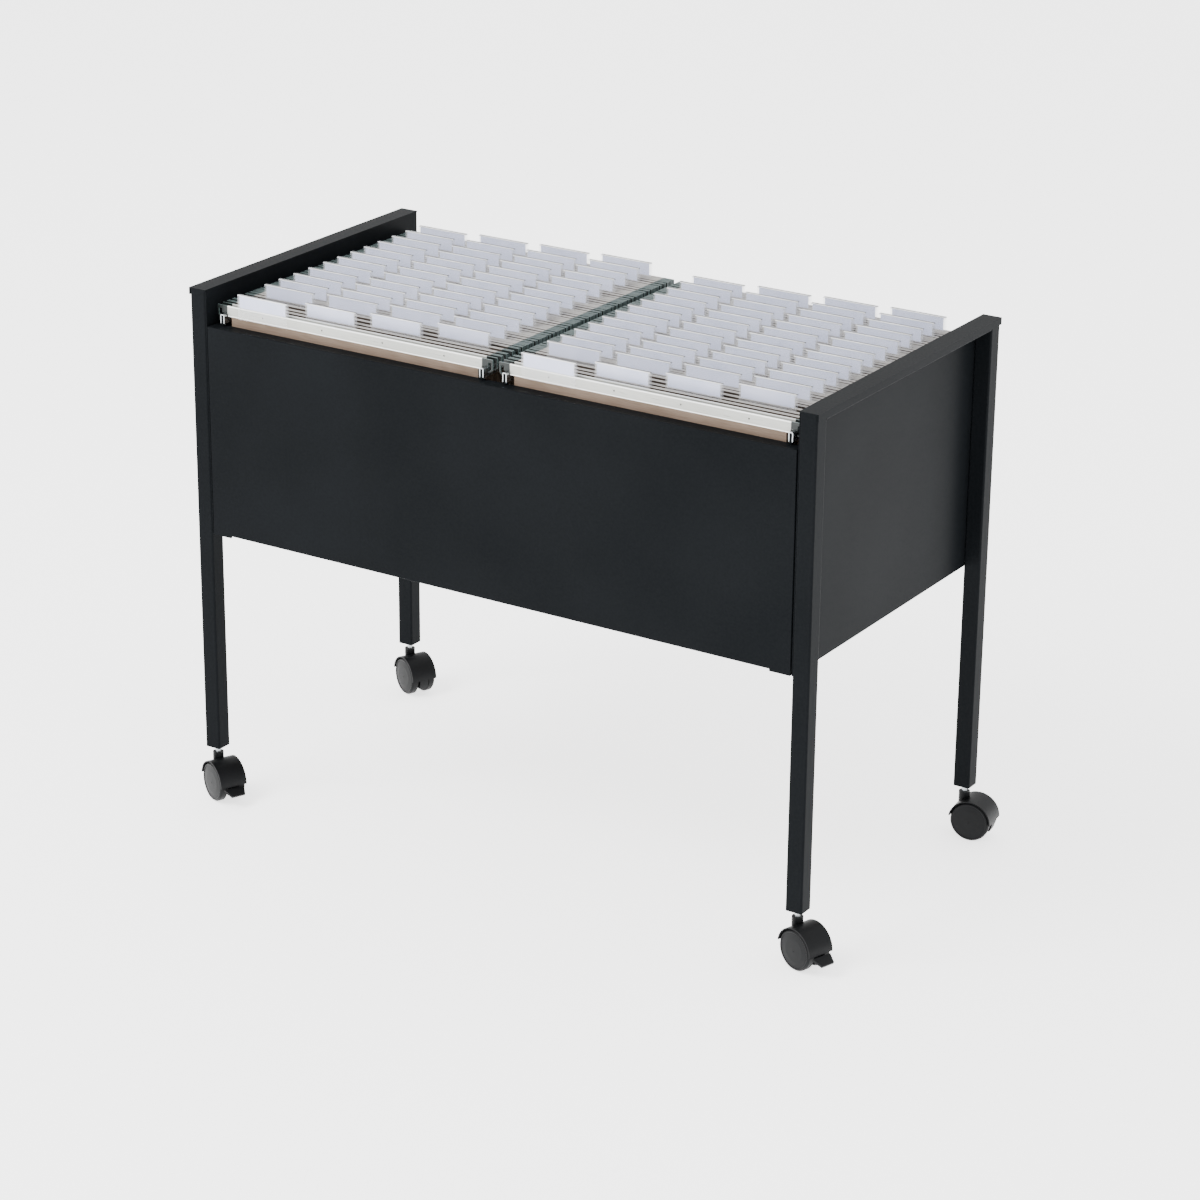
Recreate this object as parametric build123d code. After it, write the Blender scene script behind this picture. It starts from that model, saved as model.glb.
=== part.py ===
from build123d import *
from math import sin
import os

# A hanging file rack: a steel trolley on four twin-wheel casters that carries two columns of
# suspension files side by side. All sizes are in millimetres. The origin is on the floor under
# the middle of the frame, +X to the right seen from the front, +Y to the back and +Z up.

# Frame
FRAME_WIDTH = 756.0
FRAME_DEPTH = 384.0
FRAME_TOP_Z = 585.0
LEG_BOTTOM_Z = 59.0
TUBE_SIZE = 19.0
TUBE_WALL = 1.5
TUBE_CORNER = 2.0
TOP_RAIL_HEIGHT = 9.0
TOP_RAIL_WALL = 1.2
CAP_SHEET = 1.5
CAP_LIP_HEIGHT = 7.5
END_SHEET = 1.0
END_SHEET_INSET = 1.0
LEG_PLUG_SIZE = 15.8
LEG_PLUG_CORNER = 0.6
LEG_PLUG_LENGTH = 25.0

# Front and rear panels
PANEL_GAP = 2.5
PANEL_DROP = 39.5
PANEL_HEIGHT = 231.0
PANEL_SHEET = 1.2
PANEL_FOLD_RADIUS = 1.0
FLANGE_DEPTH = 15.5
FOOT_WIDTH = 23.5
FOOT_DROP = 2.0
WELD_PAD_RADIUS = 5.0
WELD_PAD_DEPTH = 8.0
WELD_PAD_SHARES = (0.15, 0.5, 0.85)

# File rails
RAIL_SPACING = 330.0
INNER_RAIL_X = 14.0
RAIL_TOP_Z = 558.5
RAIL_WIDTH = 5.0
RAIL_HEIGHT = 10.0
RAIL_WALL = 1.0
RAIL_TOP_RADIUS = 1.6
RAIL_LENGTH = 364.0
RAIL_TAB_WIDTH = 2.4
RAIL_TAB_DEPTH = 5.0

# Suspension files
BAR_LENGTH = 350.0
BAR_THICKNESS = 1.4
BAR_RISE = 8.5
BAR_FALL = 3.0
BAR_END_CLEARANCE = 1.0
BAR_HOLE_RADIUS = 1.0
HOOK_CLEARANCE = 0.35
HOOK_STRIP = 1.6
HOOK_RADIUS = 5.6
HOOK_ARM_HEIGHT = 3.3
BOARD_WIDTH = 314.0
BOARD_SHEET = 0.5
BOARD_BOTTOM_Z = 325.0
BAR_PAIR_SPACING = 2.6
FIRST_BAR_Y = -175.9
FIRST_FILE_OPENING = 8.4
LOOSE_FILE_YS = (-160.5, -151.5, -140.5)
PACK_START_Y = -129.5
PACK_PITCH = 6.38
PACK_FILES = 48
PACK_UNEVENNESS = 1.05
PACK_WAVE = 1.3

# Index tabs, measured back from the middle of a file's front bar
TAB_WIDTH = 64.0
TAB_LANES = 4
TAB_LANE_PITCH = 77.0
TAB_HEIGHT = 14.8
TAB_WALL = 0.5
TAB_SLACK = 0.15
TAB_FRONT = -1.6
TAB_BACK = 2.2
TAB_BACK_SKIRT = 6.0
TAB_FRONT_SKIRT = 12.0
LABEL_WIDTH = 60.0
LABEL_THICKNESS = 0.3

# Casters: in a caster's own frame the swivel axis is Z, the wheels trail towards +X and the
# axle lies along Y. Headings are turned about Z, in degrees.
CASTER_HEADINGS = {"front_left": -24.5, "front_right": -18.0, "rear_left": -26.0, "rear_right": 7.0}
TRAIL = 12.0
WHEEL_RADIUS = 22.0
AXLE_RADIUS = 3.0
AXLE_HALF_LENGTH = 14.2
RUNNING_CLEARANCE = 0.05
WHEEL_PROFILE = (
    (AXLE_RADIUS + RUNNING_CLEARANCE, 6.1),
    (20.5, 6.1),
    (WHEEL_RADIUS, 7.4),
    (WHEEL_RADIUS, 13.2),
    (20.6, 15.0),
    (19.4, 15.3),
    (18.6, 14.8),
    (12.0, 15.5),
    (0.0, 15.8),
    (0.0, 14.4),
    (AXLE_RADIUS + RUNNING_CLEARANCE, 14.4),
)
HOOD_OUTER_RADIUS = 24.0
HOOD_INNER_RADIUS = 22.7
HOOD_HALF_WIDTH = 15.75
HOOD_LEADING_ANGLE = 10.0
WEB_RADIUS = 23.2
WEB_HALF_WIDTH = 5.5
WEB_DROP = 11.0
SOCKET_RADIUS = 6.0
SOCKET_BOTTOM_Z = 30.0
SOCKET_TOP_Z = 51.5
STEM_PIN_RADIUS = 3.0
STEM_BOTTOM_Z = 35.0
STEM_SHOULDER_RADIUS = 4.7
STEM_SHOULDER_HEIGHT = 2.7
STEM_THREAD_RADIUS = 4.0
STEM_THREAD_LENGTH = 21.0

# Brake pedals of the front casters
PEDAL_PIVOT = (27.0, 18.0)
PEDAL_TRUNNION_RADIUS = 1.5
PEDAL_TRUNNION_HALF_LENGTH = 5.4
PEDAL_ARM_HALF_WIDTH = 2.8
PEDAL_ARM_ENDS = (24.0, 38.0)
PEDAL_ARM_HEIGHTS = (16.0, 19.6)
PEDAL_SLOT_HALF_WIDTH = 3.1
PEDAL_SLOT_ENDS = (22.0, 40.0)
PEDAL_SLOT_HEIGHTS = (8.0, 21.8)
PAD_ROOT = (35.6, 18.7)
PAD_LENGTH = 11.5
PAD_ROOT_HALF_WIDTH = 12.0
PAD_TIP_HALF_WIDTH = 8.0
PAD_THICKNESS = 2.4
PAD_SLOPE = 26.0

HALF_WIDTH = FRAME_WIDTH / 2
HALF_DEPTH = FRAME_DEPTH / 2
LEG_X = HALF_WIDTH - TUBE_SIZE / 2
LEG_Y = HALF_DEPTH - TUBE_SIZE / 2
INNER_X = HALF_WIDTH - TUBE_SIZE
INNER_Y = HALF_DEPTH - TUBE_SIZE
UNDER_CAP_Z = FRAME_TOP_Z - CAP_SHEET
PANEL_TOP_Z = FRAME_TOP_Z - PANEL_DROP
PANEL_BOTTOM_Z = PANEL_TOP_Z - PANEL_HEIGHT
PANEL_FOOT_Z = PANEL_BOTTOM_Z - FOOT_DROP
PANEL_HALF_WIDTH = INNER_X - PANEL_GAP
COLUMN_X = INNER_RAIL_X + RAIL_SPACING / 2
BAR_TOP_Z = RAIL_TOP_Z + BAR_RISE
BAR_BOTTOM_Z = RAIL_TOP_Z - BAR_FALL
TAB_LANE_XS = [(lane - (TAB_LANES - 1) / 2) * TAB_LANE_PITCH for lane in range(TAB_LANES)]

SIDES = {"left": -1, "right": 1}
ENDS = {"front": -1, "rear": 1}
CORNERS = {
    f"{end}_{side}": (SIDES[side] * LEG_X, ENDS[end] * LEG_Y) for end in ENDS for side in SIDES
}


def block(x0, x1, y0, y1, z0, z1):
    """A box between two values on each axis."""
    middle = ((x0 + x1) / 2, (y0 + y1) / 2, (z0 + z1) / 2)
    return Pos(*middle) * Box(abs(x1 - x0), abs(y1 - y0), abs(z1 - z0))


def rectangle(u0, u1, v0, v1):
    """A flat rectangle between two values on each of its axes."""
    return Pos((u0 + u1) / 2, (v0 + v1) / 2) * Rectangle(abs(u1 - u0), abs(v1 - v0))


def polygon(*points):
    """A flat face inside a closed outline."""
    return make_face(Polyline(*points, close=True))


def along_x(side_view, x0, x1):
    """A solid with the given (y, z) outline, running from x0 to x1."""
    return Pos(x0, 0, 0) * extrude(Plane.YZ * side_view, x1 - x0)


def along_y(front_view, y0, y1):
    """A solid with the given (x, z) outline, running from y0 to y1."""
    return Pos(0, y1, 0) * extrude(Plane.XZ * front_view, y1 - y0)


def tube(size_x, size_y, length, wall, corner):
    """A rectangular tube standing on the origin."""
    outer = RectangleRounded(size_x, size_y, corner)
    inner = RectangleRounded(size_x - 2 * wall, size_y - 2 * wall, max(corner - wall, 0.3))
    return extrude(outer - inner, length)


def rod(radius, z0, z1):
    """An upright round bar."""
    return Pos(0, 0, z0) * extrude(Circle(radius), z1 - z0)


def group(shapes):
    """One node made of several separate solids."""
    return Compound([solid for shape in shapes for solid in shape.solids()])


def write(name, shape):
    """Write one subcomponent."""
    export_step(shape, f"parts/{name}.step")


def top_rail(side):
    """The flat tube that joins the tops of the two legs of one end frame."""
    bar = tube(TUBE_SIZE, TOP_RAIL_HEIGHT, 2 * INNER_Y, TOP_RAIL_WALL, TUBE_CORNER)
    middle_z = UNDER_CAP_Z - TOP_RAIL_HEIGHT / 2
    return Pos(side * LEG_X, -INNER_Y, middle_z) * Rot(-90, 0, 0) * bar


def top_cap(side):
    """The thin strip on an end frame, folded down over the outer side."""
    inner = side * (INNER_X - END_SHEET)
    face = side * HALF_WIDTH
    outer = side * (HALF_WIDTH + CAP_SHEET)
    plate = block(inner, outer, -HALF_DEPTH, HALF_DEPTH, UNDER_CAP_Z, FRAME_TOP_Z)
    lip_z = FRAME_TOP_Z - CAP_LIP_HEIGHT
    return plate + block(face, outer, -HALF_DEPTH, HALF_DEPTH, lip_z, FRAME_TOP_Z)


def end_panel(side):
    """The sheet that lies on the inner faces of an end frame."""
    reach = HALF_DEPTH - END_SHEET_INSET
    face = side * INNER_X
    return block(face, face - side * END_SHEET, -reach, reach, PANEL_FOOT_Z, UNDER_CAP_Z)


def rail_tab(x):
    """The upright tab of a front panel's flange that carries the end of a file rail."""
    back = -RAIL_LENGTH / 2 + RAIL_TAB_DEPTH
    half = RAIL_TAB_WIDTH / 2
    top = RAIL_TOP_Z - RAIL_WALL
    return block(x - half, x + half, -RAIL_LENGTH / 2, back, PANEL_TOP_Z - PANEL_SHEET, top)


def front_panel(rail_xs):
    """The face sheet with its folded flanges, side returns, feet, welds and rail tabs."""
    front = -HALF_DEPTH
    back = front + FLANGE_DEPTH
    inside = front + PANEL_SHEET
    half = PANEL_HALF_WIDTH
    tray = block(-half, half, front, back, PANEL_BOTTOM_Z, PANEL_TOP_Z)
    tray = fillet(tray.edges().filter_by(Axis.X).group_by(Axis.Y)[0], PANEL_FOLD_RADIUS)
    inner_half = half - PANEL_SHEET
    floor = PANEL_BOTTOM_Z + PANEL_SHEET
    tray -= block(-inner_half, inner_half, inside, back, floor, PANEL_TOP_Z - PANEL_SHEET)
    for side in SIDES.values():
        foot_x = side * (half - FOOT_WIDTH)
        wall_x = side * inner_half
        edge_x = side * half
        tray -= block(foot_x, wall_x, inside, back, PANEL_BOTTOM_Z, floor)
        tray += block(foot_x, edge_x, front, inside, PANEL_FOOT_Z, floor)
        tray += block(wall_x, edge_x, front, back, PANEL_FOOT_Z, floor)
        for share in WELD_PAD_SHARES:
            height = PANEL_BOTTOM_Z + share * PANEL_HEIGHT
            gap = PANEL_GAP - END_SHEET
            pad = Rot(0, 90, 0) * Cylinder(WELD_PAD_RADIUS, gap)
            tray += Pos(side * (half + gap / 2), front + WELD_PAD_DEPTH, height) * pad
    for x in rail_xs:
        tray += rail_tab(x)
    return tray


def file_rail(x):
    """A channel with a round top, open below, that the files hang on."""
    half = RAIL_WIDTH / 2
    end = RAIL_LENGTH / 2
    bottom = RAIL_TOP_Z - RAIL_HEIGHT
    channel = block(x - half, x + half, -end, end, bottom, RAIL_TOP_Z)
    channel = fillet(channel.edges().filter_by(Axis.Y).group_by(Axis.Z)[-1], RAIL_TOP_RADIUS)
    hollow = half - RAIL_WALL
    return channel - block(x - hollow, x + hollow, -end, end, bottom, RAIL_TOP_Z - RAIL_WALL)


def leg_plug():
    """The square plug in the foot of a leg, bored for the caster stem."""
    plug = extrude(RectangleRounded(LEG_PLUG_SIZE, LEG_PLUG_SIZE, LEG_PLUG_CORNER), LEG_PLUG_LENGTH)
    bore_top = LEG_BOTTOM_Z + LEG_PLUG_LENGTH
    return Pos(0, 0, LEG_BOTTOM_Z) * plug - rod(STEM_THREAD_RADIUS, LEG_BOTTOM_Z, bore_top)


def caster_stem():
    """The plated stem: swivel pin below, shoulder under the leg and thread in the plug."""
    shoulder_z = LEG_BOTTOM_Z - STEM_SHOULDER_HEIGHT
    pin = rod(STEM_PIN_RADIUS, STEM_BOTTOM_Z, shoulder_z)
    shoulder = rod(STEM_SHOULDER_RADIUS, shoulder_z, LEG_BOTTOM_Z)
    thread = rod(STEM_THREAD_RADIUS, LEG_BOTTOM_Z, LEG_BOTTOM_Z + STEM_THREAD_LENGTH)
    return pin + shoulder + thread


def across_wheels(side_view, half_width):
    """A caster solid with the given outline about the axle, running equally to both sides."""
    return Pos(TRAIL, 0, WHEEL_RADIUS) * along_y(side_view, -half_width, half_width)


def cross_pin(radius, half_length, x, z):
    """A round pin along the axle direction."""
    return Pos(x, 0, z) * Rot(90, 0, 0) * Cylinder(radius, 2 * half_length)


def caster_housing(braked):
    """The hood over both wheels, the web between them and the socket for the stem."""
    reach = 2 * HOOD_OUTER_RADIUS
    leading = Rot(0, 0, 180 - HOOD_LEADING_ANGLE)
    ring = Circle(HOOD_OUTER_RADIUS) - Circle(HOOD_INNER_RADIUS)
    upper = ring & rectangle(-reach, reach, 0, reach)
    cut = leading * rectangle(0, reach, 0, reach)
    hood = across_wheels(upper - cut, HOOD_HALF_WIDTH)
    wheel_space = cross_pin(HOOD_INNER_RADIUS, HOOD_HALF_WIDTH, TRAIL, WHEEL_RADIUS)
    socket = rod(SOCKET_RADIUS, SOCKET_BOTTOM_Z, SOCKET_TOP_Z) - wheel_space
    web_view = Circle(WEB_RADIUS) & rectangle(-reach, reach, -WEB_DROP, reach)
    housing = hood + socket + across_wheels(web_view, WEB_HALF_WIDTH)
    housing -= cross_pin(AXLE_RADIUS, WEB_HALF_WIDTH, TRAIL, WHEEL_RADIUS)
    housing -= rod(STEM_PIN_RADIUS + RUNNING_CLEARANCE, STEM_BOTTOM_Z - 0.5, SOCKET_TOP_Z)
    if braked:
        slot = PEDAL_SLOT_HALF_WIDTH
        housing -= block(*PEDAL_SLOT_ENDS, -slot, slot, *PEDAL_SLOT_HEIGHTS)
        bore = PEDAL_TRUNNION_RADIUS + RUNNING_CLEARANCE
        housing -= cross_pin(bore, WEB_HALF_WIDTH, *PEDAL_PIVOT)
    return housing


def caster_wheel(side):
    """A wheel with a blind hub and a slightly domed outer face."""
    profile = Plane.XY * polygon(*WHEEL_PROFILE)
    wheel = Pos(TRAIL, 0, WHEEL_RADIUS) * revolve(profile, Axis.Y)
    return wheel if side > 0 else mirror(wheel, Plane.XZ)


def brake_pedal():
    """The tapered foot pad and the arm that pivots between the wheels."""
    half = PEDAL_ARM_HALF_WIDTH
    arm = block(*PEDAL_ARM_ENDS, -half, half, *PEDAL_ARM_HEIGHTS)
    trunnions = cross_pin(PEDAL_TRUNNION_RADIUS, PEDAL_TRUNNION_HALF_LENGTH, *PEDAL_PIVOT)
    outline = polygon(
        (0, -PAD_ROOT_HALF_WIDTH),
        (PAD_LENGTH, -PAD_TIP_HALF_WIDTH),
        (PAD_LENGTH, PAD_TIP_HALF_WIDTH),
        (0, PAD_ROOT_HALF_WIDTH),
    )
    pad = Pos(PAD_ROOT[0], 0, PAD_ROOT[1]) * Rot(0, PAD_SLOPE, 0) * extrude(outline, PAD_THICKNESS)
    return arm + trunnions + pad


def file_bar():
    """A flat metal bar with a thin curved hook over the rail at each end."""
    deep_end = RAIL_SPACING / 2 - RAIL_WIDTH / 2 - BAR_END_CLEARANCE
    bar_end = BAR_LENGTH / 2
    hook_x = bar_end - HOOK_RADIUS
    rest_z = RAIL_TOP_Z + HOOK_CLEARANCE
    ring = Circle(HOOK_RADIUS) - Circle(HOOK_RADIUS - HOOK_STRIP)
    curl = Pos(hook_x, RAIL_TOP_Z) * (ring & rectangle(0, HOOK_RADIUS, -HOOK_RADIUS, 0))
    half_view = (
        rectangle(0, deep_end, BAR_BOTTOM_Z, BAR_TOP_Z)
        + rectangle(deep_end, hook_x, rest_z, BAR_TOP_Z)
        + rectangle(hook_x, bar_end, BAR_TOP_Z - HOOK_ARM_HEIGHT, BAR_TOP_Z)
        + rectangle(bar_end - HOOK_STRIP, bar_end, RAIL_TOP_Z, BAR_TOP_Z)
        + curl
    )
    view = half_view + mirror(half_view, Plane.YZ)
    for x in TAB_LANE_XS:
        view -= Pos(x, (BAR_TOP_Z + BAR_BOTTOM_Z) / 2) * Circle(BAR_HOLE_RADIUS)
    return along_y(view, -BAR_THICKNESS / 2, BAR_THICKNESS / 2)


def file_board(front_y, back_y):
    """The folded board of one file, hanging from its front bar and its back bar."""
    half = BOARD_SHEET / 2
    fold_y = front_y + BAR_PAIR_SPACING
    inside_z = BOARD_BOTTOM_Z + BOARD_SHEET
    side_view = polygon(
        (front_y - half, BOARD_BOTTOM_Z),
        (front_y - half, BAR_BOTTOM_Z),
        (front_y + half, BAR_BOTTOM_Z),
        (front_y + half, inside_z),
        (fold_y - half, inside_z),
        (back_y - half, BAR_BOTTOM_Z),
        (back_y + half, BAR_BOTTOM_Z),
        (fold_y + half, BOARD_BOTTOM_Z),
    )
    return along_x(side_view, -BOARD_WIDTH / 2, BOARD_WIDTH / 2)


def index_tab():
    """A clear holder: a sleeve above the bar with a skirt down each side of it."""
    floor = BAR_TOP_Z + TAB_SLACK
    top = BAR_TOP_Z + TAB_HEIGHT
    near = BAR_THICKNESS / 2 + TAB_SLACK
    far = near + TAB_WALL
    sleeve = rectangle(TAB_FRONT, TAB_BACK, floor, top)
    sleeve -= rectangle(TAB_FRONT + TAB_WALL, TAB_BACK - TAB_WALL, floor + TAB_WALL, top - TAB_WALL)
    skirt = rectangle(-far, -near, BAR_TOP_Z - TAB_FRONT_SKIRT, floor + TAB_WALL)
    clip = rectangle(near, far, BAR_TOP_Z - TAB_BACK_SKIRT, floor + TAB_WALL)
    return along_x(sleeve + skirt + clip, -TAB_WIDTH / 2, TAB_WIDTH / 2)


def index_label():
    """The paper slip behind the front wall of a tab."""
    front = TAB_FRONT + TAB_WALL + 0.1
    bottom = BAR_TOP_Z + TAB_SLACK + TAB_WALL + 0.1
    top = BAR_TOP_Z + TAB_HEIGHT - TAB_WALL - 0.3
    side_view = rectangle(front, front + LABEL_THICKNESS, bottom, top)
    return along_x(side_view, -LABEL_WIDTH / 2, LABEL_WIDTH / 2)


def file_places():
    """The front and back bar positions of every file in a column, front to back."""
    packed = [
        PACK_START_Y + number * PACK_PITCH + PACK_UNEVENNESS * sin(PACK_WAVE * number)
        for number in range(PACK_FILES)
    ]
    behind = [(y, y + BAR_PAIR_SPACING) for y in [*LOOSE_FILE_YS, *packed]]
    return [(FIRST_BAR_Y, FIRST_BAR_Y + FIRST_FILE_OPENING), *behind]


def write_files(prefix, column_x, numbers, plural):
    """Write the boards, bars, tabs and labels of some of the files in one column."""
    places = file_places()
    bar = file_bar()
    tab = index_tab()
    label = index_label()
    boards = []
    bars = []
    tabs = []
    labels = []
    for number in numbers:
        front_y, back_y = places[number]
        boards.append(Pos(column_x, 0, 0) * file_board(front_y, back_y))
        bars += [Pos(column_x, y, 0) * bar for y in (front_y, back_y)]
        tab_place = Pos(column_x + TAB_LANE_XS[number % TAB_LANES], front_y, 0)
        tabs.append(tab_place * tab)
        labels.append(tab_place * label)
    write(f"{prefix}_board{plural}", group(boards))
    write(f"{prefix}_bars", group(bars))
    write(f"{prefix}_tab{plural}", group(tabs))
    write(f"{prefix}_label{plural}", group(labels))


def write_frame():
    """Write the steelwork and the fittings fixed to it."""
    rail_xs = {
        "left_outer": -COLUMN_X - RAIL_SPACING / 2,
        "left_inner": -INNER_RAIL_X,
        "right_inner": INNER_RAIL_X,
        "right_outer": COLUMN_X + RAIL_SPACING / 2,
    }
    leg = tube(TUBE_SIZE, TUBE_SIZE, UNDER_CAP_Z - LEG_BOTTOM_Z, TUBE_WALL, TUBE_CORNER)
    for name, (x, y) in CORNERS.items():
        write(f"{name}_leg", Pos(x, y, LEG_BOTTOM_Z) * leg)
    for name, side in SIDES.items():
        write(f"{name}_top_rail", top_rail(side))
        write(f"{name}_top_cap", top_cap(side))
        write(f"{name}_end_panel", end_panel(side))
    panel = front_panel(rail_xs.values())
    write("front_panel", panel)
    write("rear_panel", mirror(panel, Plane.XZ))
    for name, x in rail_xs.items():
        write(f"{name}_file_rail", file_rail(x))
    write("leg_plugs", group([Pos(x, y, 0) * leg_plug() for x, y in CORNERS.values()]))
    write("caster_stems", group([Pos(x, y, 0) * caster_stem() for x, y in CORNERS.values()]))


def write_casters():
    """Write the four casters, each turned to its own heading."""
    axle = cross_pin(AXLE_RADIUS, AXLE_HALF_LENGTH, TRAIL, WHEEL_RADIUS)
    for name, (x, y) in CORNERS.items():
        place = Pos(x, y, 0) * Rot(0, 0, CASTER_HEADINGS[name])
        braked = name.startswith("front")
        write(f"{name}_caster_housing", place * caster_housing(braked))
        write(f"{name}_caster_axle", place * axle)
        write(f"{name}_caster_left_wheel", place * caster_wheel(1))
        write(f"{name}_caster_right_wheel", place * caster_wheel(-1))
        if braked:
            write(f"{name}_brake_pedal", place * brake_pedal())


def main():
    """Write every subcomponent of the rack."""
    os.makedirs("parts", exist_ok=True)
    write_frame()
    write_casters()
    for name, side in SIDES.items():
        write_files(f"{name}_front_file", side * COLUMN_X, range(1), "")
        write_files(f"{name}_file", side * COLUMN_X, range(1, len(file_places())), "s")


main()
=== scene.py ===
import logging
from dataclasses import dataclass
from enum import Enum
from math import cos, radians, sin
from typing import Dict, List, Optional, Sequence, Tuple

import bpy
import numpy as np
from mathutils import Matrix, Vector


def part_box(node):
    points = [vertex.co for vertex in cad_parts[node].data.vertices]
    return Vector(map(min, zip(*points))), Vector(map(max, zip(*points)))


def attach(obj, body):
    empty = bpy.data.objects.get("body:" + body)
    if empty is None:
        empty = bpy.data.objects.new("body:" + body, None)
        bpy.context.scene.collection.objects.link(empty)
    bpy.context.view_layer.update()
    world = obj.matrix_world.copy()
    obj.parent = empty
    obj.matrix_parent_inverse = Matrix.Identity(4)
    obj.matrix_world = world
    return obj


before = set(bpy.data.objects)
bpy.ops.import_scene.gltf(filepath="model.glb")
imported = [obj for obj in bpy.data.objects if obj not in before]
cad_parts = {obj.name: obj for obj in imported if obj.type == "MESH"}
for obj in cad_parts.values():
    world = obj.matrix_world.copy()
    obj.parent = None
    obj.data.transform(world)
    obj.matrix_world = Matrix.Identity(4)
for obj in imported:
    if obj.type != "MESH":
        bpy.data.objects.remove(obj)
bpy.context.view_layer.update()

LOG = logging.getLogger("hanging_file_rack")
MM = 0.001


def linear(code: str) -> Tuple[float, float, float, float]:
    """Turn an sRGB hex colour into linear light.

    Args:
        code: Six hex digits after a hash sign.

    Returns:
        Linear red, green and blue, and an alpha of one.
    """
    values = np.array([int(code[i:i + 2], 16) for i in (1, 3, 5)]) / 255
    light = np.where(values <= 0.04045, values / 12.92, ((values + 0.055) / 1.055) ** 2.4)
    return (*(float(v) for v in light), 1.0)


def add_node(tree: bpy.types.NodeTree, kind: str, settings: Optional[Dict] = None,
             inputs: Optional[Dict] = None) -> bpy.types.Node:
    """Add a shader node with its settings and links.

    Args:
        tree: Node tree that gets the node.
        kind: Blender's name for the node type.
        settings: Attribute values of the node.
        inputs: Socket name or number to a value, or to the output socket that feeds it.

    Returns:
        The new node.
    """
    node = tree.nodes.new(kind)
    for name, value in (settings or {}).items():
        setattr(node, name, value)
    for key, value in (inputs or {}).items():
        if isinstance(value, bpy.types.NodeSocket):
            tree.links.new(value, node.inputs[key])
        else:
            node.inputs[key].default_value = value
    return node


class Grain(Enum):
    """Proportions of a surface's grain along X, Y and Z: a larger number is finer."""

    EVEN = (1.0, 1.0, 1.0)
    ALONG_X = (0.04, 1.0, 1.0)
    ALONG_Y = (1.0, 0.04, 1.0)


@dataclass(frozen=True)
class Finish:
    """A surface finish: a base colour broken up by its grain, with matching gloss and relief."""

    name: str
    base: str
    tint: str
    roughness: float
    roughness_spread: float
    grain: Grain
    grain_mm: float
    relief_mm: float
    cloud_mm: float = 140.0
    metallic: float = 0.0
    ior: float = 1.5
    alpha: float = 1.0
    specular: float = 0.5

    def colour(self, tree: bpy.types.NodeTree, grain: bpy.types.NodeSocket,
               cloud: bpy.types.NodeSocket) -> bpy.types.NodeSocket:
        """Mix the base colour towards its tint by half grain and half slow cloud.

        Args:
            tree: The material's node tree.
            grain: Fine noise from 0 to 1.
            cloud: Slow noise from 0 to 1.

        Returns:
            The colour output.
        """
        half = add_node(tree, "ShaderNodeMath", {"operation": "ADD"}, {0: grain, 1: cloud})
        share = add_node(tree, "ShaderNodeMapRange", None, {
            "Value": half.outputs[0], "From Min": 0.7, "From Max": 1.3})
        mix = add_node(tree, "ShaderNodeMix", {"data_type": "RGBA"}, {
            0: share.outputs[0], 6: linear(self.base), 7: linear(self.tint)})
        return mix.outputs[2]

    def build(self) -> bpy.types.Material:
        """Build the material on Object coordinates, in millimetres.

        Returns:
            The finished material.
        """
        material = bpy.data.materials.new(self.name)
        material.use_nodes = True
        tree = material.node_tree
        shader = tree.nodes["Principled BSDF"]
        place = add_node(tree, "ShaderNodeTexCoord").outputs["Object"]
        scale = [share / (self.grain_mm * MM) for share in self.grain.value]
        fine = add_node(tree, "ShaderNodeMapping", None, {"Vector": place, "Scale": scale})
        grain = add_node(tree, "ShaderNodeTexNoise", None, {
            "Vector": fine.outputs[0], "Scale": 1.0, "Detail": 3.0, "Roughness": 0.55})
        cloud = add_node(tree, "ShaderNodeTexNoise", None, {
            "Vector": place, "Scale": 1 / (self.cloud_mm * MM), "Detail": 2.0})
        gloss = add_node(tree, "ShaderNodeMapRange", None, {
            "Value": grain.outputs[0], "From Min": 0.3, "From Max": 0.7,
            "To Min": self.roughness - self.roughness_spread,
            "To Max": self.roughness + self.roughness_spread})
        bump = add_node(tree, "ShaderNodeBump", None, {
            "Strength": 0.6, "Distance": self.relief_mm * MM, "Height": grain.outputs[0]})
        links = {
            "Base Color": self.colour(tree, grain.outputs[0], cloud.outputs[0]),
            "Roughness": gloss.outputs[0],
            "Normal": bump.outputs[0],
        }
        for name, source in links.items():
            tree.links.new(source, shader.inputs[name])
        shader.inputs["Metallic"].default_value = self.metallic
        shader.inputs["IOR"].default_value = self.ior
        shader.inputs["Alpha"].default_value = self.alpha
        shader.inputs["Specular IOR Level"].default_value = self.specular
        return material


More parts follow.
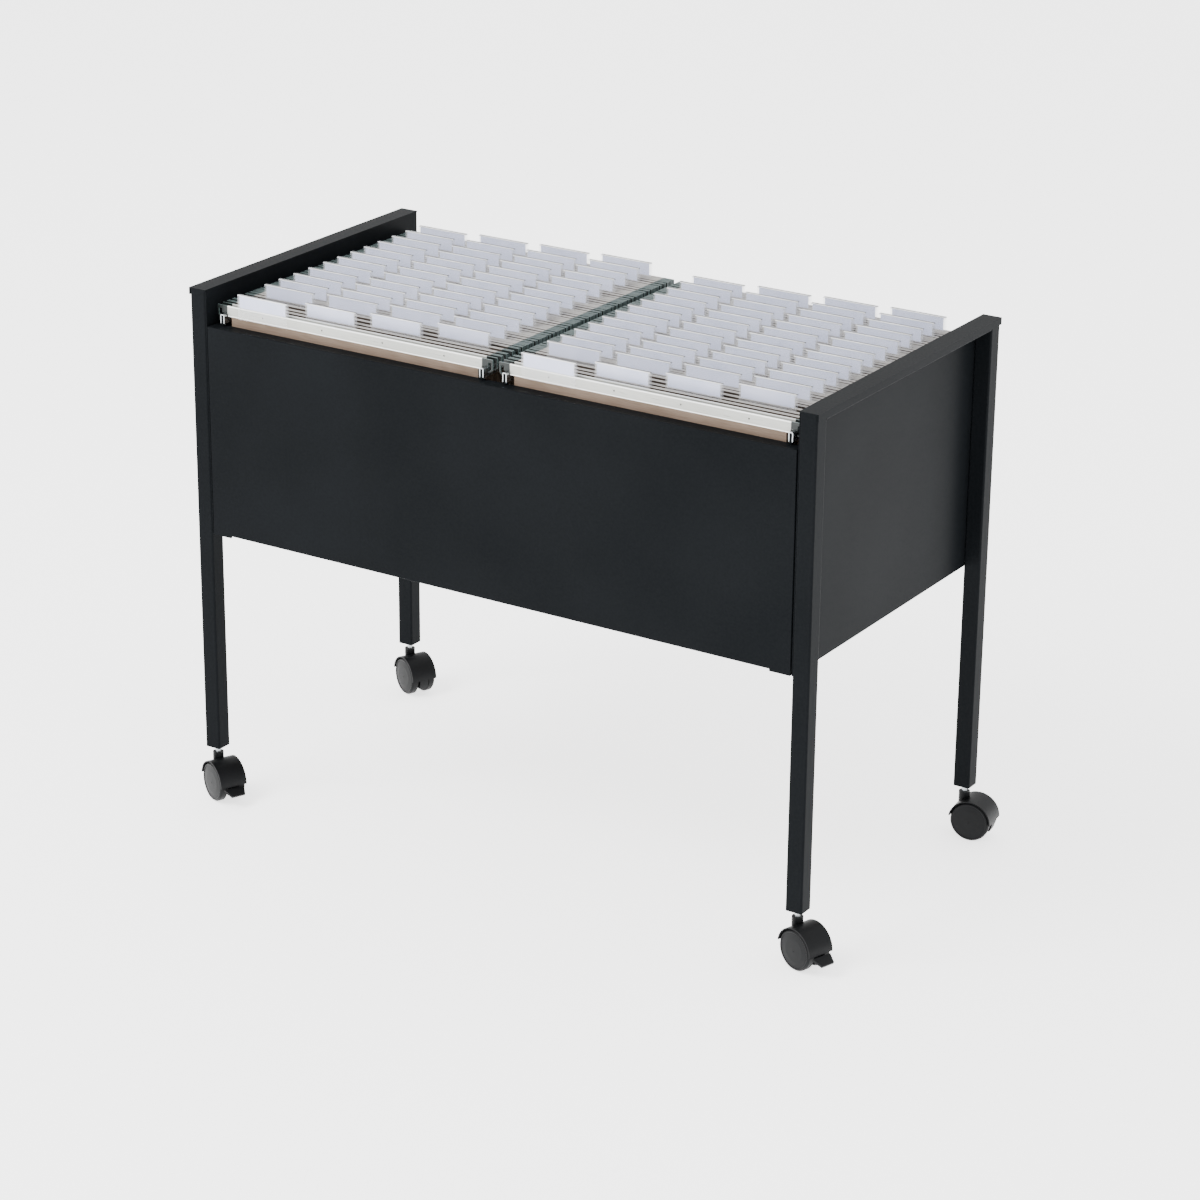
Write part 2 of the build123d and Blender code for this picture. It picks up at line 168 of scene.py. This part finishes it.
@dataclass(frozen=True)
class StripFinish(Finish):
    """Coated strip steel, paler along its top and bottom edges: a painted highlight on its rolled
    edges.
    """

    top_z: float = 0.0
    height: float = 0.0115
    # The pale band along each top and bottom edge is a painted highlight: its width, the share of
    # that width at the edge where it is full, and its colour.
    highlight_mm: float = 1.3
    highlight_start: float = 0.6
    edge: str = "#f6f7f4"
    column_x: float = 0.179
    strip_reach: float = 0.162
    # The hooks' grey-green is painted shade, with deeper painted shade on their flat faces.
    hook: str = "#5b6a69"
    hook_face_shade: str = "#161c1b"

    def colour(self, tree: bpy.types.NodeTree, grain: bpy.types.NodeSocket,
               cloud: bpy.types.NodeSocket) -> bpy.types.NodeSocket:
        """Colour the strip: a painted highlight along its rolled edges and grey-green painted shade
        at its hooks.

        The painted highlight's share grows with distance from the strip's middle height. A point
        is on a hook when its distance from the column's middle is more than the strip's reach. A
        hook's flat faces, which look along Y, get deeper painted shade than its curl.

        Args:
            tree: The material's node tree.
            grain: Fine noise from 0 to 1.
            cloud: Slow noise from 0 to 1.

        Returns:
            The colour output.
        """
        plain = super().colour(tree, grain, cloud)
        surface = add_node(tree, "ShaderNodeTexCoord").outputs
        axes = add_node(tree, "ShaderNodeSeparateXYZ", None, {0: surface["Object"]}).outputs
        height = axes[2]
        middle = self.top_z - self.height / 2
        offset = add_node(tree, "ShaderNodeMath", {"operation": "SUBTRACT"}, {0: height, 1: middle})
        away = add_node(tree, "ShaderNodeMath", {"operation": "ABSOLUTE"}, {0: offset.outputs[0]})
        # Painted highlight along the top and bottom edges of the strip.
        share = add_node(tree, "ShaderNodeMapRange", None, {
            "Value": away.outputs[0], "From Min": self.height / 2 - self.highlight_mm * MM,
            "From Max": self.height / 2 - self.highlight_start * self.highlight_mm * MM})
        coated = add_node(tree, "ShaderNodeMix", {"data_type": "RGBA"}, {
            0: share.outputs[0], 6: plain, 7: linear(self.edge)})
        # Painted shade on the hooks, past the strip's reach from the column's middle, deepest on
        # the flat faces that look along Y.
        across = add_node(tree, "ShaderNodeMath", {"operation": "ABSOLUTE"}, {0: axes[0]})
        beside = add_node(tree, "ShaderNodeMath", {"operation": "SUBTRACT"}, {
            0: across.outputs[0], 1: self.column_x})
        reach = add_node(tree, "ShaderNodeMath", {"operation": "ABSOLUTE"}, {0: beside.outputs[0]})
        on_hook = add_node(tree, "ShaderNodeMath", {"operation": "GREATER_THAN"}, {
            0: reach.outputs[0], 1: self.strip_reach})
        facing = add_node(tree, "ShaderNodeSeparateXYZ", None, {0: surface["Normal"]})
        flat = add_node(tree, "ShaderNodeMath", {"operation": "ABSOLUTE"}, {0: facing.outputs[1]})
        steel = add_node(tree, "ShaderNodeMix", {"data_type": "RGBA"}, {
            0: flat.outputs[0], 6: linear(self.hook), 7: linear(self.hook_face_shade)})
        mix = add_node(tree, "ShaderNodeMix", {"data_type": "RGBA"}, {
            0: on_hook.outputs[0], 6: coated.outputs[2], 7: steel.outputs[2]})
        return mix.outputs[2]


# Polyester powder coat, oven cured: near-black, semi-gloss, with a slight orange peel. The peel is
# drawn 2.5 mm across, about twice its real size, so that it shows.
POWDER_COAT = Finish("polyester_powder_coat", "#0c0e10", "#121416", 0.40, 0.05, Grain.EVEN,
                     2.5, 0.02, ior=1.5, specular=0.02)
# Bright zinc plate on rolled steel: blue-grey metal with faint draw lines along the rail.
ZINC_PLATE = Finish("bright_zinc_plate", "#a9aeb2", "#c3c7c8", 0.30, 0.08, Grain.ALONG_Y,
                    0.8, 0.01, metallic=1.0)
# Glass-filled nylon moulding: matt black with a fine spark-eroded texture, drawn 0.9 mm across.
NYLON = Finish("moulded_black_nylon", "#08090a", "#0d0e10", 0.42, 0.07, Grain.EVEN,
               0.9, 0.03, cloud_mm=30.0, ior=1.53, specular=0.1)
# Kraft file board, calendered: warm brown with short fibres lying along the sheet.
FILE_BOARD = Finish("kraft_file_board", "#5f4e40", "#7b6a5c", 0.78, 0.06, Grain.ALONG_X,
                    0.7, 0.04, cloud_mm=60.0, ior=1.45)
# Clear polystyrene moulding: glossy and slightly milky where walls lie one behind another.
CLEAR_STYRENE = Finish("clear_polystyrene", "#eef0f6", "#ffffff", 0.12, 0.03, Grain.EVEN,
                       6.0, 0.01, ior=1.59, alpha=0.12)
# The same moulding at its near rounded top edges, drawn opaque near-white as a painted highlight
# where they gather light.
STYRENE_PAINTED_HIGHLIGHT = Finish("polystyrene_edge_painted_highlight", "#f3f4f8", "#ffffff", 0.10, 0.03, Grain.EVEN,
                      6.0, 0.01, ior=1.59)
# The far top edges of the same moulding, drawn near-black as painted shade for the dark gaps behind
# the tabs, which they refract.
STYRENE_PAINTED_SHADE = Finish("polystyrene_edge_painted_shade", "#121518", "#1e2226", 0.10, 0.03, Grain.EVEN,
                       6.0, 0.01, ior=1.59)
# Uncoated label paper: pale lavender white, with fibres drawn 0.6 mm across.
LABEL_PAPER = Finish("uncoated_label_paper", "#bcc3e0", "#d0d5ee", 0.85, 0.04, Grain.EVEN,
                     0.6, 0.02, cloud_mm=25.0, ior=1.45)


def dress(material: bpy.types.Material, nodes: Sequence[str]) -> None:
    """Give CAD nodes a material.

    Args:
        material: The material they all get.
        nodes: Names of the nodes.
    """
    for name in nodes:
        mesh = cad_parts[name].data
        mesh.materials.clear()
        mesh.materials.append(material)
    LOG.info("%s on %d nodes", material.name, len(nodes))


def names_with(*words: str) -> List[str]:
    """Return every CAD node whose name holds one of the words."""
    return sorted(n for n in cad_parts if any(word in n for word in words))


@dataclass
class SteelFrame:
    """Legs, rails, caps, panels and the plated parts fixed to them."""

    coat: Finish = POWDER_COAT
    plate: Finish = ZINC_PLATE

    def dress(self) -> None:
        """Powder coat the steelwork and plate the file rails, stems and axles."""
        dress(self.coat.build(), names_with("_leg", "top_rail", "top_cap", "_panel"))
        dress(self.plate.build(), names_with("file_rail", "caster_stems", "caster_axle"))


@dataclass
class Casters:
    """Twin-wheel casters with their housings, wheels, pedals and leg plugs."""

    nylon: Finish = NYLON

    def dress(self) -> None:
        """Give every moulded part its nylon finish."""
        dress(self.nylon.build(), names_with("housing", "wheel", "pedal", "leg_plugs"))


@dataclass
class FileColumns:
    """Two columns of suspension files with their bars, boards, tabs and labels."""

    bead_radius: float = 0.55 * MM
    bead_sides: int = 8
    level_tolerance: float = 0.05 * MM

    def dress(self) -> None:
        """Give bars, boards, tabs and labels their finishes.

        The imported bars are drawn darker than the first, as strip that stands in shade.
        """
        top_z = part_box("left_front_file_bars")[1][2]
        front = StripFinish("coated_strip_steel", "#a3a49e", "#b9bab4", 0.34, 0.08, Grain.ALONG_X,
                            0.8, 0.01, metallic=0.3, top_z=top_z)
        packed = StripFinish("coated_strip_steel_in_shade", "#332c27", "#453c35", 0.5, 0.08,
                             Grain.ALONG_X, 0.8, 0.01, top_z=top_z, highlight_mm=0.3, edge="#aaa7a3")
        dress(front.build(), names_with("front_file_bars"))
        dress(packed.build(), ["left_file_bars", "right_file_bars"])
        dress(FILE_BOARD.build(), names_with("file_board"))
        dress(CLEAR_STYRENE.build(), names_with("file_tab"))
        dress(LABEL_PAPER.build(), names_with("file_label"))

    def tab_tops(self, node: str) -> np.ndarray:
        """Find the top of every tab in a node.

        Each tab's flat top has four outer corners, and tabs never overlap from front to back, so
        the corners sorted by depth fall into runs of four.

        Args:
            node: Name of the CAD node of tabs.

        Returns:
            One row per tab: left x, right x, front y, back y and top z.
        """
        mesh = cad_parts[node].data
        points = np.empty(3 * len(mesh.vertices))
        mesh.vertices.foreach_get("co", points)
        points = points.reshape(-1, 3)
        top = points[:, 2].max()
        level = np.abs(points[:, 2] - top) < self.level_tolerance
        corners = np.unique(np.round(points[level][:, [1, 0]], 5), axis=0).reshape(-1, 4, 2)
        return np.column_stack([
            corners[:, :, 1].min(axis=1), corners[:, :, 1].max(axis=1),
            corners[:, :, 0].min(axis=1), corners[:, :, 0].max(axis=1),
            np.full(len(corners), top)])

    def beads(self, tops: np.ndarray) -> Tuple[np.ndarray, List[List[int]], np.ndarray]:
        """Work out rounded beads along the front and back top edges of tabs.

        A point of a bead is its edge's line plus a circle: y = edge + r cos(a) and
        z = top - r + r sin(a), at the tab's left and right ends.

        Args:
            tops: Rows from tab_tops.

        Returns:
            The points, the faces, with closed ends, and each face's material: 0 near, with the
            painted highlight, 1 far, with the painted shade.
        """
        radius = self.bead_radius
        sides = self.bead_sides
        turn = np.linspace(0, 2 * np.pi, sides, endpoint=False)
        left, right, front, back, top = (np.repeat(column, 2) for column in tops.T)
        edge = np.where(np.arange(len(left)) % 2 == 0, front + radius, back - radius)
        x = np.stack([left, right], axis=1)[:, :, None] + 0 * turn
        y = edge[:, None, None] + radius * np.cos(turn) + 0 * x
        z = (top - radius)[:, None, None] + radius * np.sin(turn) + 0 * x
        points = np.stack([x, y, z], axis=-1).reshape(-1, 3)
        ring = np.arange(sides)
        following = (ring + 1) % sides
        wall = np.stack([ring, following, following + sides, ring + sides], axis=1)
        starts = np.arange(0, len(points), 2 * sides)
        walls = (starts[:, None, None] + wall).reshape(-1, 4)
        ends = np.concatenate([starts[:, None] + ring[::-1], starts[:, None] + sides + ring])
        far = np.arange(len(starts)) % 2
        slots = np.concatenate([np.repeat(far, sides), far, far])
        return points, walls.tolist() + ends.tolist(), slots

    def build(self) -> None:
        """Add the moulded top beads of every tab, riding on the files they belong to: near beads
        with a painted highlight, far beads with painted shade.
        """
        # Painted highlight for the near beads, painted shade for the far beads.
        materials = (STYRENE_PAINTED_HIGHLIGHT.build(), STYRENE_PAINTED_SHADE.build())
        for side in ("left", "right"):
            for node, body in ((f"{side}_front_file_tab", f"{side}_front_file"),
                               (f"{side}_file_tabs", f"{side}_files")):
                points, faces, slots = self.beads(self.tab_tops(node))
                mesh = bpy.data.meshes.new(f"{body}_tab_beads")
                mesh.from_pydata(points.tolist(), [], faces)
                mesh.polygons.foreach_set("use_smooth", np.ones(len(faces), dtype=bool))
                for material in materials:
                    mesh.materials.append(material)
                mesh.polygons.foreach_set("material_index", slots.astype(np.int32))
                piece = bpy.data.objects.new(f"{body}_tab_beads", mesh)
                bpy.context.scene.collection.objects.link(piece)
                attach(piece, body)
                LOG.info("%s: %d faces", piece.name, len(faces))


@dataclass
class Studio:
    """White, faintly glowing floor, soft lights and a long-lens camera right of the front."""

    floor_size: float = 30.0
    floor_glow: float = 2.0
    world_strength: float = 1.9
    light_target: Tuple[float, float, float] = (0.0, 0.0, 0.3)
    lens_mm: float = 106.71
    azimuth: float = 32.429
    elevation: float = 21.408
    roll: float = 0.523
    camera_place: Tuple[float, float, float] = (1.9189, -2.9979, 1.6475)

    def floor(self) -> None:
        """Lay the white floor, which glows so that it stays bright under the rack."""
        half = self.floor_size / 2
        mesh = bpy.data.meshes.new("floor")
        corners = [(-half, -half, 0), (half, -half, 0), (half, half, 0), (-half, half, 0)]
        mesh.from_pydata(corners, [], [(0, 1, 2, 3)])
        material = bpy.data.materials.new("matt_white_floor")
        material.use_nodes = True
        shader = material.node_tree.nodes["Principled BSDF"]
        shader.inputs["Base Color"].default_value = linear("#f7f7f7")
        shader.inputs["Roughness"].default_value = 0.9
        shader.inputs["Emission Color"].default_value = linear("#ffffff")
        shader.inputs["Emission Strength"].default_value = self.floor_glow
        mesh.materials.append(material)
        floor = bpy.data.objects.new("floor", mesh)
        bpy.context.scene.collection.objects.link(floor)

    def light(self, name: str, place: Tuple[float, float, float], size: float,
              watts: float) -> None:
        """Hang a square soft light that points at the middle of the rack.

        Args:
            name: The light's name.
            place: Where it hangs, in metres.
            size: Length of its side, in metres.
            watts: Its power.
        """
        data = bpy.data.lights.new(name, "AREA")
        data.size = size
        data.energy = watts
        lamp = bpy.data.objects.new(name, data)
        lamp.location = place
        aim = Vector(self.light_target) - Vector(place)
        lamp.rotation_euler = aim.to_track_quat("-Z", "Y").to_euler()
        bpy.context.scene.collection.objects.link(lamp)

    def camera(self) -> None:
        """Place the camera, looking along its azimuth and elevation with a slight roll."""
        turn, tilt, roll = (radians(v) for v in (self.azimuth, self.elevation, self.roll))
        forward = Vector((-sin(turn) * cos(tilt), cos(turn) * cos(tilt), -sin(tilt)))
        level = Vector((cos(turn), sin(turn), 0))
        upright = level.cross(forward)
        right = level * cos(roll) + upright * sin(roll)
        up = upright * cos(roll) - level * sin(roll)
        data = bpy.data.cameras.new("camera")
        data.sensor_width = 36.0
        data.lens = self.lens_mm
        camera = bpy.data.objects.new("camera", data)
        axes = Matrix((right, up, -forward)).transposed().to_4x4()
        camera.matrix_world = Matrix.Translation(self.camera_place) @ axes
        bpy.context.scene.collection.objects.link(camera)
        bpy.context.scene.camera = camera

    def build(self) -> None:
        """Set up the floor, world, lights and camera."""
        self.floor()
        world = bpy.data.worlds.new("studio")
        world.use_nodes = True
        background = world.node_tree.nodes["Background"]
        background.inputs["Color"].default_value = linear("#ffffff")
        background.inputs["Strength"].default_value = self.world_strength
        bpy.context.scene.world = world
        self.light("key", (-1.5, -2.5, 3.2), 2.0, 170.0)
        self.light("side", (3.5, 0.5, 2.2), 2.0, 10.0)
        self.camera()


def main() -> None:
    """Build and dress the rack."""
    logging.basicConfig(level=logging.INFO)
    Studio().build()
    SteelFrame().dress()
    Casters().dress()
    columns = FileColumns()
    columns.dress()
    columns.build()


if __name__ == "__main__":
    main()
